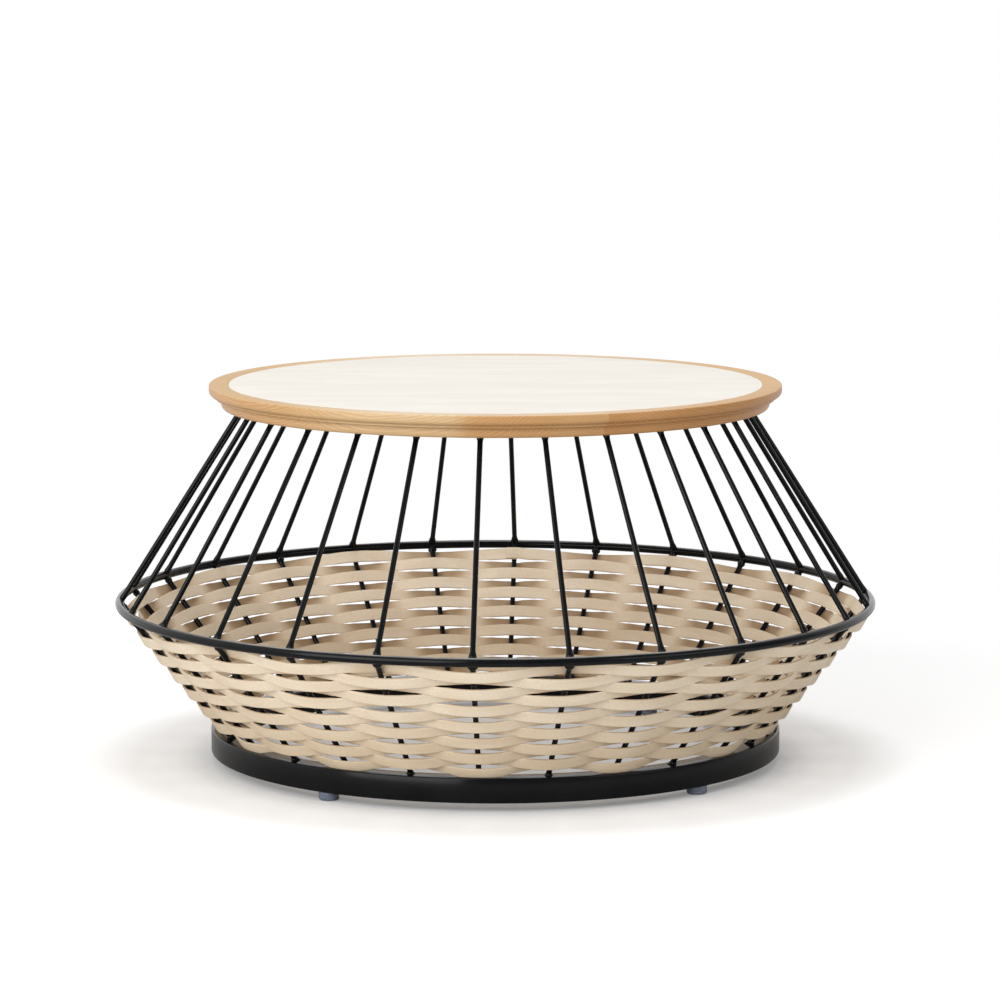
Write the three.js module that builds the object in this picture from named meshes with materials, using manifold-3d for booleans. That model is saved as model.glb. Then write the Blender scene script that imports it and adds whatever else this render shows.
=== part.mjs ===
// Round coffee table: a cage of bent rods with a strap basket woven on its lower half,
// and a wood-rimmed stone top. Millimetres, +Z up, origin on the floor at the centre.
// Azimuths are degrees from the front (-Y) towards +X.

import * as THREE from 'three';
import { mergeVertices } from 'three/addons/utils/BufferGeometryUtils.js';
import Module from 'manifold-3d';

const wasm = await Module();
wasm.setup();

// Clearances
const fit_gap = 0.3;
const strap_gap = 0.4;
const cut_overrun = 1;

// Glides: a plastic foot moulded round a stud that screws up into the base ring
const glide_azimuths = [-35.5, 45, 144, 232.5];
const glide_radius = 11.25;
const glide_height = 9.5;
const glide_edge = 1.6;
const glide_stud_radius = 3;
const glide_stud_grip = 12;

// Base ring: a rolled bar of upright rectangular section
const base_ring_radius = 312;
const base_ring_width = 25;
const base_ring_height = 27.5;

// Ribs: one rod each, from the base ring out to the knee and in again to the top ring
const rib_count = 26;
const first_rib_azimuth = -3.23;
const rib_rod_radius = 3;
const rib_foot_inset = 2;
const rib_knee_radius = 426.6;
const rib_knee_rise = 143.9;
const rib_crown_rise = 221.3;
const rib_bend_radius = 8;

// Mid ring: a round rod round the knees, notched on its inner side so that each knee sits in it;
// its centre lies outside the centres of the bends by the offset
const mid_ring_offset = 2.2;
const mid_ring_rod_radius = 5;

// Top ring: a flat bar that the ribs carry and the top is screwed to
const top_ring_inset = 6.5;
const top_ring_width = 19;
const top_ring_thickness = 5;
const top_screw_bays = [2, 6, 11, 15, 19, 24];
const top_screw_radius = 2.2;
const top_screw_head_radius = 4.5;
const top_screw_head_height = 2.4;
const top_screw_grip = 10;

// Top: a board with a stone inlay on it, inside a rim of curved wood segments
const board_radius = 302;
const board_thickness = 14;
const inlay_thickness = 6;
const rim_width = 22;
const rim_segment_count = 6;
const rim_joint_azimuth = 22;
const rim_fascia_share = 0.235;
const rim_lip_width_share = 0.61;
const rim_lip_height_share = 0.37;
const rim_bead_share = 0.17;
const rim_toe_share = 0.16;

// Woven straps: each row passes outside one rib and inside the next
const strap_row_count = 13;
const strap_width = 14.5;
const strap_thickness = 2;
const foot_strap_width = 10;
const first_row_drop = 20.1;
const strap_crossing_gap = 1.1;
const strap_tilt = 10;
const strap_rest_share = 0.1;

// Facets
const ring_steps_per_bay = 2;
const top_steps = 60;
const rod_sides = 8;
const hole_sides = 8;
const glide_sides = 12;
const lip_steps = 3;
const toe_steps = 2;

// Radii, heights and slopes that follow from the sizes above
const rib_foot_radius = base_ring_radius - rib_foot_inset;
const rib_crown_radius = board_radius - top_ring_inset - top_ring_width / 2;
const base_ring_bottom = glide_height;
const base_ring_top = base_ring_bottom + base_ring_height;
const knee_z = base_ring_top + rib_knee_rise;
const crown_z = knee_z + rib_crown_rise;
const lower_lean = Math.atan2(rib_knee_radius - rib_foot_radius, rib_knee_rise);
const upper_lean = Math.atan2(rib_knee_radius - rib_crown_radius, rib_crown_rise);
const knee_tangent = rib_bend_radius * Math.tan((upper_lean + lower_lean) / 2);
const knee_cut = rib_bend_radius / Math.cos((upper_lean + lower_lean) / 2) - rib_bend_radius;
const knee_radius = rib_knee_radius - knee_cut;
const mid_ring_radius = knee_radius + mid_ring_offset;
const board_bottom = crown_z + fit_gap + top_ring_thickness + fit_gap;
const inlay_bottom = board_bottom + board_thickness + fit_gap;
const table_height = inlay_bottom + inlay_thickness;
const rim_bottom = crown_z + fit_gap;
const rim_height = table_height - rim_bottom;
const rim_inner_radius = board_radius + fit_gap;
const bay_angle = 360 / rib_count;
const glide_hole_radius = glide_stud_radius + fit_gap;
const pilot_hole_radius = top_screw_radius + fit_gap;

const deg = THREE.MathUtils.degToRad;

const materials = {
  paint: new THREE.MeshStandardMaterial({ color: 0x1d1d1f, roughness: 0.45, metalness: 0.2 }),
  wood: new THREE.MeshStandardMaterial({ color: 0xc99a66, roughness: 0.55, metalness: 0 }),
  stone: new THREE.MeshStandardMaterial({ color: 0xf0ece4, roughness: 0.4, metalness: 0 }),
  board: new THREE.MeshStandardMaterial({ color: 0xb8946a, roughness: 0.8, metalness: 0 }),
  strap: new THREE.MeshStandardMaterial({ color: 0xe2cbab, roughness: 0.75, metalness: 0 }),
  glide: new THREE.MeshStandardMaterial({ color: 0x6b7388, roughness: 0.25, metalness: 0 }),
  steel: new THREE.MeshStandardMaterial({ color: 0xa8aaad, roughness: 0.35, metalness: 1 }),
};

// Direction away from the axis at an azimuth
function outward(azimuth) {
  return new THREE.Vector3(Math.sin(deg(azimuth)), -Math.cos(deg(azimuth)), 0);
}

function place(azimuth, radius, z) {
  return outward(azimuth).multiplyScalar(radius).setZ(z);
}

// Frame whose x and y axes carry an outline; its z axis is the way the loft travels
function frameOf(xAxis, yAxis, origin) {
  const travel = new THREE.Vector3().crossVectors(xAxis, yAxis).normalize();
  return new THREE.Matrix4().makeBasis(xAxis, yAxis, travel).setPosition(origin);
}

// Frame that stands upright across a ring: x outwards, y up, travelling against the azimuth
function ringFrame(azimuth, radius, z) {
  return frameOf(outward(azimuth), new THREE.Vector3(0, 0, 1), place(azimuth, radius, z));
}

function ringFrames(steps, radius, z) {
  return Array.from({ length: steps }, (_, i) => (
    ringFrame(first_rib_azimuth - (360 * i) / steps, radius, z)));
}

function circle(radius, sides, startAzimuth = 0, centre = new THREE.Vector2()) {
  return Array.from({ length: sides }, (_, i) => {
    const angle = deg(startAzimuth + (360 * i) / sides);
    return new THREE.Vector2(radius * Math.sin(angle), -radius * Math.cos(angle)).add(centre);
  });
}

function rectangle(width, height) {
  return [
    new THREE.Vector2(-width / 2, -height / 2),
    new THREE.Vector2(width / 2, -height / 2),
    new THREE.Vector2(width / 2, height / 2),
    new THREE.Vector2(-width / 2, height / 2),
  ];
}

// Closed skin through an outline carried by one frame after another
function loft(outline, frames, closed = false) {
  const positions = [];
  for (const frame of frames) {
    for (const point of outline) {
      positions.push(...new THREE.Vector3(point.x, point.y, 0).applyMatrix4(frame));
    }
  }
  const count = outline.length;
  const spans = closed ? frames.length : frames.length - 1;
  const index = [];
  for (let i = 0; i < spans; i += 1) {
    const here = i * count;
    const next = ((i + 1) % frames.length) * count;
    for (let j = 0; j < count; j += 1) {
      const k = (j + 1) % count;
      index.push(here + j, here + k, next + k);
      index.push(here + j, next + k, next + j);
    }
  }
  if (!closed) {
    const last = (frames.length - 1) * count;
    for (const [a, b, c] of THREE.ShapeUtils.triangulateShape(outline, [])) {
      index.push(c, b, a);
      index.push(last + a, last + b, last + c);
    }
  }
  const geometry = new THREE.BufferGeometry();
  geometry.setAttribute('position', new THREE.Float32BufferAttribute(positions, 3));
  geometry.setIndex(index);
  return geometry;
}

// Upright prism between two heights
function prism(outline, bottom, top) {
  const x = new THREE.Vector3(1, 0, 0);
  const y = new THREE.Vector3(0, 1, 0);
  return loft(outline, [
    frameOf(x, y, new THREE.Vector3(0, 0, bottom)),
    frameOf(x, y, new THREE.Vector3(0, 0, top)),
  ]);
}

function turned(profile, sides) {
  return new THREE.LatheGeometry(profile, sides).rotateX(Math.PI / 2);
}

function toSolid(geometry) {
  const bare = geometry.clone();
  bare.deleteAttribute('normal');
  bare.deleteAttribute('uv');
  const merged = mergeVertices(bare);
  return new wasm.Manifold(new wasm.Mesh({
    numProp: 3,
    vertProperties: new Float32Array(merged.attributes.position.array),
    triVerts: new Uint32Array(merged.index.array),
  }));
}

function drilled(geometry, cutters) {
  let solid = toSolid(geometry);
  for (const cutter of cutters) {
    solid = solid.subtract(toSolid(cutter));
  }
  const mesh = solid.getMesh();
  const result = new THREE.BufferGeometry();
  result.setAttribute('position', new THREE.Float32BufferAttribute(mesh.vertProperties, 3));
  result.setIndex(Array.from(mesh.triVerts));
  return result;
}

const table = new THREE.Group();

function add(name, geometry, material, azimuth = 0) {
  const plain = geometry.index ? geometry.toNonIndexed() : geometry;
  plain.computeVertexNormals();
  const mesh = new THREE.Mesh(plain, material);
  mesh.name = name;
  mesh.rotation.z = deg(azimuth);
  table.add(mesh);
}

// Pan-head screw, head down, its seat under the head at z = 0 and its shank going up
function topScrew() {
  const length = board_bottom + top_screw_grip - crown_z;
  return turned([
    new THREE.Vector2(0, -top_screw_head_height),
    new THREE.Vector2(top_screw_head_radius, -top_screw_head_height),
    new THREE.Vector2(top_screw_head_radius, 0),
    new THREE.Vector2(top_screw_radius, 0),
    new THREE.Vector2(top_screw_radius, length),
    new THREE.Vector2(0, length),
  ], hole_sides);
}

function glide() {
  const seat = glide_height - fit_gap;
  return turned([
    new THREE.Vector2(0, 0),
    new THREE.Vector2(glide_radius - glide_edge, 0),
    new THREE.Vector2(glide_radius, glide_edge),
    new THREE.Vector2(glide_radius, seat),
    new THREE.Vector2(glide_stud_radius, seat),
    new THREE.Vector2(glide_stud_radius, glide_height + glide_stud_grip),
    new THREE.Vector2(0, glide_height + glide_stud_grip),
  ], glide_sides);
}

function addGlides() {
  glide_azimuths.forEach((azimuth, i) => {
    const centre = place(azimuth, base_ring_radius, 0);
    add(`glide_${i + 1}`, glide().translate(centre.x, centre.y, 0), materials.glide);
  });
}

function addBaseRing() {
  const frames = ringFrames(
    rib_count * ring_steps_per_bay,
    base_ring_radius,
    base_ring_bottom + base_ring_height / 2,
  );
  const bar = loft(rectangle(base_ring_width, base_ring_height), frames, true);
  const holes = glide_azimuths.map((azimuth) => {
    const centre = place(azimuth, base_ring_radius, 0);
    const outline = circle(glide_hole_radius, hole_sides, 0, new THREE.Vector2(centre.x, centre.y));
    const end = base_ring_bottom + glide_stud_grip + fit_gap;
    return prism(outline, base_ring_bottom - cut_overrun, end);
  });
  add('base_ring', drilled(bar, holes), materials.paint);
}

// One rib in the front plane, travelling down from the top ring
function rib() {
  const knee = new THREE.Vector3(0, -rib_knee_radius, knee_z);
  const down = new THREE.Vector3(0, -Math.sin(upper_lean), -Math.cos(upper_lean));
  const back = new THREE.Vector3(0, Math.sin(lower_lean), -Math.cos(lower_lean));
  const half_turn = (upper_lean + lower_lean) / 2;
  const x = new THREE.Vector3(1, 0, 0);
  const across = (way) => new THREE.Vector3().crossVectors(way, x);
  const flatEnd = (way, radius, z) => (
    frameOf(x, new THREE.Vector3(0, 1 / way.z, 0), new THREE.Vector3(0, -radius, z)));
  const bendStart = knee.clone().addScaledVector(down, -knee_tangent);
  const centre = bendStart.clone().addScaledVector(across(down), -rib_bend_radius);
  const bend = [0, half_turn, 2 * half_turn].map((turn) => {
    const way = down.clone().applyAxisAngle(x, turn);
    return frameOf(x, across(way), centre.clone().addScaledVector(across(way), rib_bend_radius));
  });
  return loft(circle(rib_rod_radius, rod_sides), [
    flatEnd(down, rib_crown_radius + fit_gap * Math.tan(upper_lean), crown_z - fit_gap),
    ...bend,
    flatEnd(back, rib_foot_radius + fit_gap * Math.tan(lower_lean), base_ring_top + fit_gap),
  ]);
}

function addRibs() {
  for (let i = 0; i < rib_count; i += 1) {
    const name = `rib_${String(i + 1).padStart(2, '0')}`;
    add(name, rib(), materials.paint, first_rib_azimuth + i * bay_angle);
  }
}

function addMidRing() {
  const frames = ringFrames(rib_count * ring_steps_per_bay, mid_ring_radius, knee_z);
  const bar = loft(circle(mid_ring_rod_radius, rod_sides), frames, true);
  const half_width = rib_rod_radius + fit_gap;
  const depth = 4 * mid_ring_rod_radius;
  const notch = new THREE.BoxGeometry(2 * half_width, depth, depth)
    .translate(0, depth / 2 - half_width - knee_radius, knee_z);
  const notches = Array.from({ length: rib_count }, (_, i) => (
    notch.clone().rotateZ(deg(first_rib_azimuth + i * bay_angle))));
  add('mid_ring', drilled(bar, notches), materials.paint);
}

function topScrewCentres() {
  return top_screw_bays.map((bay) => (
    place(first_rib_azimuth + (bay + 0.5) * bay_angle, rib_crown_radius, 0)));
}

function addTopRing() {
  const steps = rib_count * ring_steps_per_bay;
  const half = top_ring_width / 2;
  const shape = new THREE.Shape(circle(rib_crown_radius + half, steps, first_rib_azimuth));
  shape.holes.push(new THREE.Path(circle(rib_crown_radius - half, steps, first_rib_azimuth)));
  for (const centre of topScrewCentres()) {
    const middle = new THREE.Vector2(centre.x, centre.y);
    shape.holes.push(new THREE.Path(circle(pilot_hole_radius, hole_sides, 0, middle)));
  }
  const bar = new THREE.ExtrudeGeometry(shape, { depth: top_ring_thickness, bevelEnabled: false });
  add('top_ring', bar.translate(0, 0, crown_z + fit_gap), materials.paint);
}

function addTopScrews() {
  topScrewCentres().forEach((centre, i) => {
    add(`top_screw_${i + 1}`, topScrew().translate(centre.x, centre.y, crown_z), materials.steel);
  });
}

function addBoardAndInlay() {
  const outline = circle(board_radius, top_steps, rim_joint_azimuth);
  const holes = topScrewCentres().map((centre) => {
    const middle = new THREE.Vector2(centre.x, centre.y);
    const end = board_bottom + top_screw_grip + fit_gap;
    return prism(circle(pilot_hole_radius, hole_sides, 0, middle), board_bottom - cut_overrun, end);
  });
  const board = prism(outline, board_bottom, board_bottom + board_thickness);
  add('top_board', drilled(board, holes), materials.board);
  add('top_inlay', prism(outline, inlay_bottom, table_height), materials.stone);
}

// Section of the rim, x outwards from its inner face and y up from its underside:
// a rounded toe, a small bead, a rounded lip and a straight fascia
function rimOutline() {
  const lip_width = rim_width * rim_lip_width_share;
  const lip_height = rim_height * rim_lip_height_share;
  const fascia_bottom = rim_height * (1 - rim_fascia_share);
  const bead_bottom = fascia_bottom - lip_height - rim_height * rim_bead_share;
  const toe_width = rim_width * rim_toe_share;
  const bead_x = rim_width - lip_width;
  const start = -Math.PI / 2;
  const toe_x = bead_x - toe_width;
  const toe = new THREE.EllipseCurve(toe_x, bead_bottom, toe_width, bead_bottom, start, 0);
  const lip = new THREE.EllipseCurve(bead_x, fascia_bottom, lip_width, lip_height, start, 0);
  return [
    new THREE.Vector2(0, rim_height),
    new THREE.Vector2(0, 0),
    ...toe.getPoints(toe_steps),
    ...lip.getPoints(lip_steps),
    new THREE.Vector2(rim_width, rim_height),
  ];
}

function addRim() {
  const span = 360 / rim_segment_count;
  const steps = Math.round(top_steps / rim_segment_count);
  const joint = THREE.MathUtils.radToDeg(fit_gap / 2 / rim_inner_radius);
  const frames = Array.from({ length: steps + 1 }, (_, i) => {
    const azimuth = THREE.MathUtils.clamp(span - (span * i) / steps, joint, span - joint);
    return ringFrame(azimuth, rim_inner_radius, rim_bottom);
  });
  for (let i = 0; i < rim_segment_count; i += 1) {
    const start = rim_joint_azimuth + i * span;
    add(`rim_segment_${i + 1}`, loft(rimOutline(), frames), materials.wood, start);
  }
}

// How far a strap's centre stands off the rib's axis where they cross
function strapStandoff(width) {
  const tilt = deg(strap_tilt);
  const half_section = (strap_thickness * Math.cos(tilt) + width * Math.sin(tilt)) / 2;
  return rib_rod_radius + strap_gap + half_section;
}

// The last row stands on the base ring with its lower edge
function lastRowDrop() {
  const face = lower_lean - deg(strap_tilt);
  const half_face = (foot_strap_width * Math.cos(face) + strap_thickness * Math.sin(face)) / 2;
  const room = rib_knee_rise - fit_gap - half_face;
  return (room - strapStandoff(foot_strap_width) * Math.sin(lower_lean)) / Math.cos(lower_lean);
}

const row_pitch = (lastRowDrop() - first_row_drop) / (strap_row_count - 1);

// One row: it rests on each rib in turn, outside and inside, and crosses over between them
function strapRow(row) {
  const width = row === strap_row_count - 1 ? foot_strap_width : strap_width;
  const crossing_width = Math.min(width, row_pitch - strap_crossing_gap);
  const drop = first_row_drop + row * row_pitch;
  const wall_radius = rib_knee_radius - drop * Math.sin(lower_lean);
  const wall_z = knee_z - drop * Math.cos(lower_lean);
  const station = (azimuth, offset, here_width, tilt) => {
    const face = lower_lean - tilt;
    const radius = wall_radius + offset * Math.cos(lower_lean);
    const z = wall_z - offset * Math.sin(lower_lean);
    const out = outward(azimuth);
    const normal = out.clone().multiplyScalar(Math.cos(face)).setZ(-Math.sin(face));
    const rise = out.clone().multiplyScalar(Math.sin(face)).setZ(Math.cos(face));
    normal.multiplyScalar(strap_thickness);
    rise.multiplyScalar(here_width);
    return frameOf(normal, rise, place(azimuth, radius, z));
  };
  const frames = [];
  for (let i = 0; i < rib_count; i += 1) {
    const azimuth = first_rib_azimuth - i * bay_angle;
    const side = (row + i) % 2 === 0 ? 1 : -1;
    const offset = side * strapStandoff(width);
    const rest = bay_angle * strap_rest_share;
    frames.push(station(azimuth + rest, offset, width, deg(strap_tilt)));
    frames.push(station(azimuth - rest, offset, width, deg(strap_tilt)));
    frames.push(station(azimuth - bay_angle / 2, 0, crossing_width, 0));
  }
  return loft(rectangle(1, 1), frames, true);
}

function addStraps() {
  for (let row = 0; row < strap_row_count; row += 1) {
    add(`strap_row_${String(row + 1).padStart(2, '0')}`, strapRow(row), materials.strap);
  }
}

addGlides();
addBaseRing();
addRibs();
addMidRing();
addTopRing();
addTopScrews();
addBoardAndInlay();
addRim();
addStraps();

export default table;
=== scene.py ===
"""Round coffee table: a strap basket woven on a cage of bent rods, and a stone top in a wood rim.

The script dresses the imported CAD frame. It works in metres, +Z up, with the table's axis
at the origin. Azimuths are degrees from the front (-Y) towards +X.
"""

import math

import bmesh
import bpy
import numpy as np
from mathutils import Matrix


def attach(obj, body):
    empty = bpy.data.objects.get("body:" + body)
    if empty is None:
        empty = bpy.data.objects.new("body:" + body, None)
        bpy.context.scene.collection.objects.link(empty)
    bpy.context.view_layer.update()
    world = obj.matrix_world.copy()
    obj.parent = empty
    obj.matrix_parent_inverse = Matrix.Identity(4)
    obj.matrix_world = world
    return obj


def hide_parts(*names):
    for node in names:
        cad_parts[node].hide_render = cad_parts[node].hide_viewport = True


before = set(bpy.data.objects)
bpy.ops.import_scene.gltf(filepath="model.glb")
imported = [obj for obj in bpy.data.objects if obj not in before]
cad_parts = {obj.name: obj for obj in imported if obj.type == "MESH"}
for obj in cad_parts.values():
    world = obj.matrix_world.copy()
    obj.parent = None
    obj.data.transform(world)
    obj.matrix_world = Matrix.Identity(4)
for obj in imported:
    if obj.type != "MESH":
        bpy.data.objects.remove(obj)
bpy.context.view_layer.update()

BODY = "root"

# Meshes: points closer than this are one, and edges sharper than an angle stay crisp
MERGE_DISTANCE = 1e-7
SHARP_ANGLE = 35
ROUND_SHARP_ANGLE = 50
WOOD_SHARP_ANGLE = 40

# Camera: where the photograph was taken from
CAMERA_DISTANCE = 4.9168
CAMERA_HEIGHT = 0.9663
CAMERA_PITCH = 7.786
CAMERA_LENS = 157.13
CAMERA_SENSOR = 36
CAMERA_SHIFT = 0.00461
CAMERA_FAR = 100

# Ribs: one rod each, bent at the knee and welded to three rings. Their meshes have so many
# stations at the crown, down to the knee, at the knee, down to the foot and at the foot.
RIB_COUNT = 26
FIRST_RIB_AZIMUTH = -3.23
ROD_RADIUS = 0.003
FOOT_INSET = 0.002
KNEE_RADIUS = 0.4266
KNEE_RISE = 0.1439
BEND_RADIUS = 0.008
ROD_SIDES = 16
CROWN_STATIONS = 7
UPPER_STATIONS = 12
KNEE_STATIONS = 37
LOWER_STATIONS = 8
FOOT_STATIONS = 6

# Welds: a rib's ends swell over a reach, and a fillet at the knee is (start, end, width, power).
# An end is cut level with its ring, and the cut's slant fades out over a few reaches.
WELD_SINK = 0.0002
CROWN_WELD_REACH = 0.009
CROWN_WELD_SWELL = 0.0025
CROWN_CUT_REACHES = 1.6
FOOT_WELD_REACH = 0.006
FOOT_WELD_SWELL = 0.0025
FOOT_CUT_REACHES = 2
UPPER_WELD = (0.0055, 0.0125, 0.0016, 1.2)
LOWER_WELD = (0.0072, 0.0135, 0.0026, 2.5)
WELD_DEPTH_SHARE = 0.4

# Rings
RING_STEPS = 208
BASE_EDGE = 0.0015
TOP_EDGE = 0.0006
BAR_EDGE_STEPS = 3
MID_RING_SIDES = 20

# Glides
GLIDE_AZIMUTHS = (-35.5, 45, 144, 232.5)
GLIDE_RADIUS = 0.01125
GLIDE_EDGE = 0.0022
GLIDE_EDGE_STEPS = 6
GLIDE_SHOULDER_STEPS = 4
GLIDE_STUD_RADIUS = 0.003
TURNED_STEPS = 40

# Screws: pan heads with a cross recess, in the middle of some bays
SCREW_BAYS = (2, 6, 11, 15, 19, 24)
SCREW_HEAD_RADIUS = 0.0045
SCREW_HEAD_HEIGHT = 0.0024
SCREW_DOME_STEPS = 15
SCREW_DOME_DROP = 0.85
SCREW_DOME_POWER = 4
SCREW_CROSS_WIDTH = 0.0011
SCREW_CROSS_REACH = 0.0027
SCREW_CROSS_DEPTH = 0.0011
SCREW_CROSS_END_SLOPE = 0.0005
SCREW_CROSS_SIDE_SLOPE = 0.0004

# Rim: section taken down and in from its outer top edge, and the joints of its boards
RIM_SEGMENTS = 6
RIM_JOINT_AZIMUTH = 22
RIM_JOINT_GAP = 0.00012
RIM_INSET = 0.0002
RIM_EDGE = 0.0013
RIM_INNER_EDGE = 0.0004
RIM_FASCIA_DROP = 0.0065
RIM_BAND_IN = 0.0065
RIM_BAND_DROPS = (0.0117, 0.0134)
RIM_BEAD_IN = 0.0135
RIM_BEAD_DROPS = (0.0155, 0.0197)
RIM_TOE_IN = 0.017
RIM_TOE_STEPS = 8
RIM_BEAD_STEPS = 7
RIM_BAND_STEPS = 9
RIM_EDGE_STEPS = 6
RIM_INNER_EDGE_STEPS = 3
RIM_SEGMENT_STEPS = 60
# Growth-ring normals of the rim's boards, as (along the segment, out, up)
RIM_RING_NORMALS = ((0.05, 1.15, 1.0), (-0.2, 0.9, 1.0), (0.15, 1.4, 1.0),
                    (-0.1, 0.8, 1.0), (0.12, 0.95, 1.0), (-0.367, 1.37, 1.0))

# Inlay
INLAY_GAP = 0.0002
INLAY_EDGE = 0.0005
INLAY_EDGE_STEPS = 4
INLAY_STEPS = 208
INLAY_RINGS = 6

# Woven straps: section, tilt in degrees off the lean of the ribs, and swing to either side of them
STRAP_ROWS = 13
STRAP_WIDTH = 0.0145
STRAP_THICKNESS = 0.002
STRAP_EDGE = 0.0008
STRAP_EDGE_STEPS = 3
STRAP_FACE_SHARES = (0.82, 0.0, -0.82)
STRAP_TILT = 10
STRAP_SWING = 0.00545
STRAP_STEPS = 24

# The foot strap is narrower. It hangs lower on its outer swings, and at the back on the inner too.
FOOT_STRAP_WIDTH = 0.010
FOOT_STRAP_RISE = 0.0009
FOOT_STRAP_HANG = 0.003
FOOT_STRAP_BACK_HANG = 0.0042
FOOT_STRAP_SWING = 0.00525

# Where the rows lie, as drops from the knee down the ribs. They were woven unevenly: pairs of
# azimuth and lift raise all rows, or mostly the upper ones, and the low rows sag at the back.
FIRST_ROW_DROP = 0.0186
LAST_ROW_DROP = 0.1743
ROW_SPREAD = 1.05
BACK_SLOPE = 1.4
BACK_SAG = 0.0024
BACK_SAG_FROM_ROW = 8
FRONT_LIFT = ((0, 0), (12, 0.0013), (40, 0.0018), (70, 0.001), (100, 0), (345, 0))
UPPER_LIFT = ((5, 0), (20, 0.0013), (45, 0.0024), (75, 0.001), (100, 0), (135, 0), (165, 0.0018),
              (181, 0.0014), (192, 0.0034), (215, 0.0036), (240, 0.002), (268, 0))
SHARED_WOBBLE = 0.0003
OWN_WOBBLE = 0.00018
WOBBLE_WAVES = (3, 5, 9, 14)
SEED = 7

# Where rows cross, their edges draw in: depth, and the offsets off the wall between which they do
PINCH_DEPTH = 0.00085
PINCH_FROM = -0.0024
PINCH_TO = 0.00005
PINCH_SOFT = 0.001

# A row's two ends lap at a rib of the back, and the first row's inner end is a loose tab.
# Both are (start, end) in bays.
TAB_ROW = 0
TAB_BAYS = (12.964, 13.095)
LAP_BAYS = (-0.015, 0.42)
LAP_RISE_BAYS = 0.12
LAP_STEP = 0.00215

# The flow attribute sets each piece of wood or strap apart by this much, so that no two are alike.
# For straps its third value is the row, plus a share that tells the outer swings from the inner.
FLOW_SHIFT = 10.0
FLOW_MIDDLE = 0.5
FLOW_SWING = 0.45

# Floor: its colour for the camera and for the light that it throws back. The lift to white is
# weaker under the table as painted shade: distances from the axis, and the lift within and beyond
# them.
FLOOR_RADIUS = 1.35
FLOOR_DROP = 0.0002
FLOOR_SIDES = 96
FLOOR_COLOUR = 0.85
FLOOR_BOUNCE = 0.58
FLOOR_LIFT_AND_SHADE_RANGE = (0.30, 0.38, 0.10, 0.26)

# Materials. Colours are linear, and a TONE multiplies the colour under it. A pattern is noise: its
# waves per metre (one number, or one for each axis), octaves and roughness. A RANGE is the two
# levels between which something comes in, and its values there where those aren't 0 and 1.
# A BUMP is the height of the relief in metres and its strength.
WHITE = (1, 1, 1, 1)

PAINT_DARK = (0.0028, 0.0032, 0.0038, 1)
PAINT_LIGHT = (0.005, 0.0055, 0.0064, 1)
PAINT_CLOUD = (26.0, 4.0)
PAINT_CLOUD_RANGE = (0.35, 0.7)
PAINT_PEEL = (1500.0, 2.0)
PAINT_SMEAR = (90.0, 5.0)
PAINT_ROUGHNESS_RANGE = (0.3, 0.7, 0.12, 0.19)
PAINT_SPECULAR = 0.2
PAINT_BUMP = (0.0001, 0.22)
# Painted highlight on the black paint: a pale line on what faces up, above a height, fading
# towards the left and right ends
PAINTED_HIGHLIGHT_COLOUR = (0.42, 0.40, 0.38, 1)
PAINTED_HIGHLIGHT_UP_RANGE = (0.8, 0.96)
PAINTED_HIGHLIGHT_CLOUD_RANGE = (0.3, 0.7, 0.5, 0.9)
PAINTED_HIGHLIGHT_HEIGHT_RANGE = (0.1, 0.15)
PAINTED_HIGHLIGHT_SIDE_RANGE = (0.22, 0.36, 1.0, 0.1)

STRAP_DARK = (0.86, 0.71, 0.525, 1)
STRAP_PALE = (0.95, 0.82, 0.64, 1)
STRAP_CLOUD = ((14.0, 60.0, 1.0), 3.0)
STRAP_CLOUD_RANGE = (0.32, 0.68)
STRAP_FLECK_COLOUR = (0.70, 0.55, 0.385, 1)
STRAP_FLECK = ((420.0, 900.0, 1.0), 3.0, 0.6)
STRAP_FLECK_RANGE = (0.35, 0.65, 0.0, 0.45)
STRAP_FLECK_HEIGHT = 0.8
STRAP_FIBRE_COLOUR = (0.90, 0.79, 0.63, 1)
STRAP_FIBRE = ((55.0, 1500.0, 1.0), 4.0, 0.6)
STRAP_FIBRE_RANGE = (0.35, 0.7, 0.0, 0.30)
# Browner strap edges: partly the strap's own edge colour, partly painted shade where rows meet
STRAP_EDGE_AND_SHADE_COLOUR = (0.50, 0.35, 0.21, 1)
STRAP_EDGE_AND_SHADE_RANGE = (0.84, 1.0)
STRAP_EDGE_AND_SHADE_SHARE = 0.6
# Painted shade: the rows darken from the third row down to the last
STRAP_LOW_SHADE_TONE = (0.86, 0.82, 0.76, 1)
STRAP_LOW_SHADE_RANGE = (2.0, 11.0)
STRAP_INSIDE_RANGE = (0.0, -0.1)
# Painted shade on the inner faces where a strap swings out behind a rib
STRAP_BEHIND_SHADE_TONE = (0.68, 0.585, 0.49, 1)
STRAP_BEHIND_SHADE_RANGE = (0.45, 0.85)
# Painted shade on the outer faces where a strap swings in, in the hollows of the weave
STRAP_HOLLOW_SHADE_TONE = (0.95, 0.91, 0.86, 1)
STRAP_HOLLOW_SHADE_RANGE = (0.4, 0.1)
STRAP_ROUGHNESS_RANGE = (0.3, 0.7, 0.56, 0.74)
STRAP_SPECULAR = 0.3
STRAP_BUMP = (0.00022, 0.45)

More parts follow.
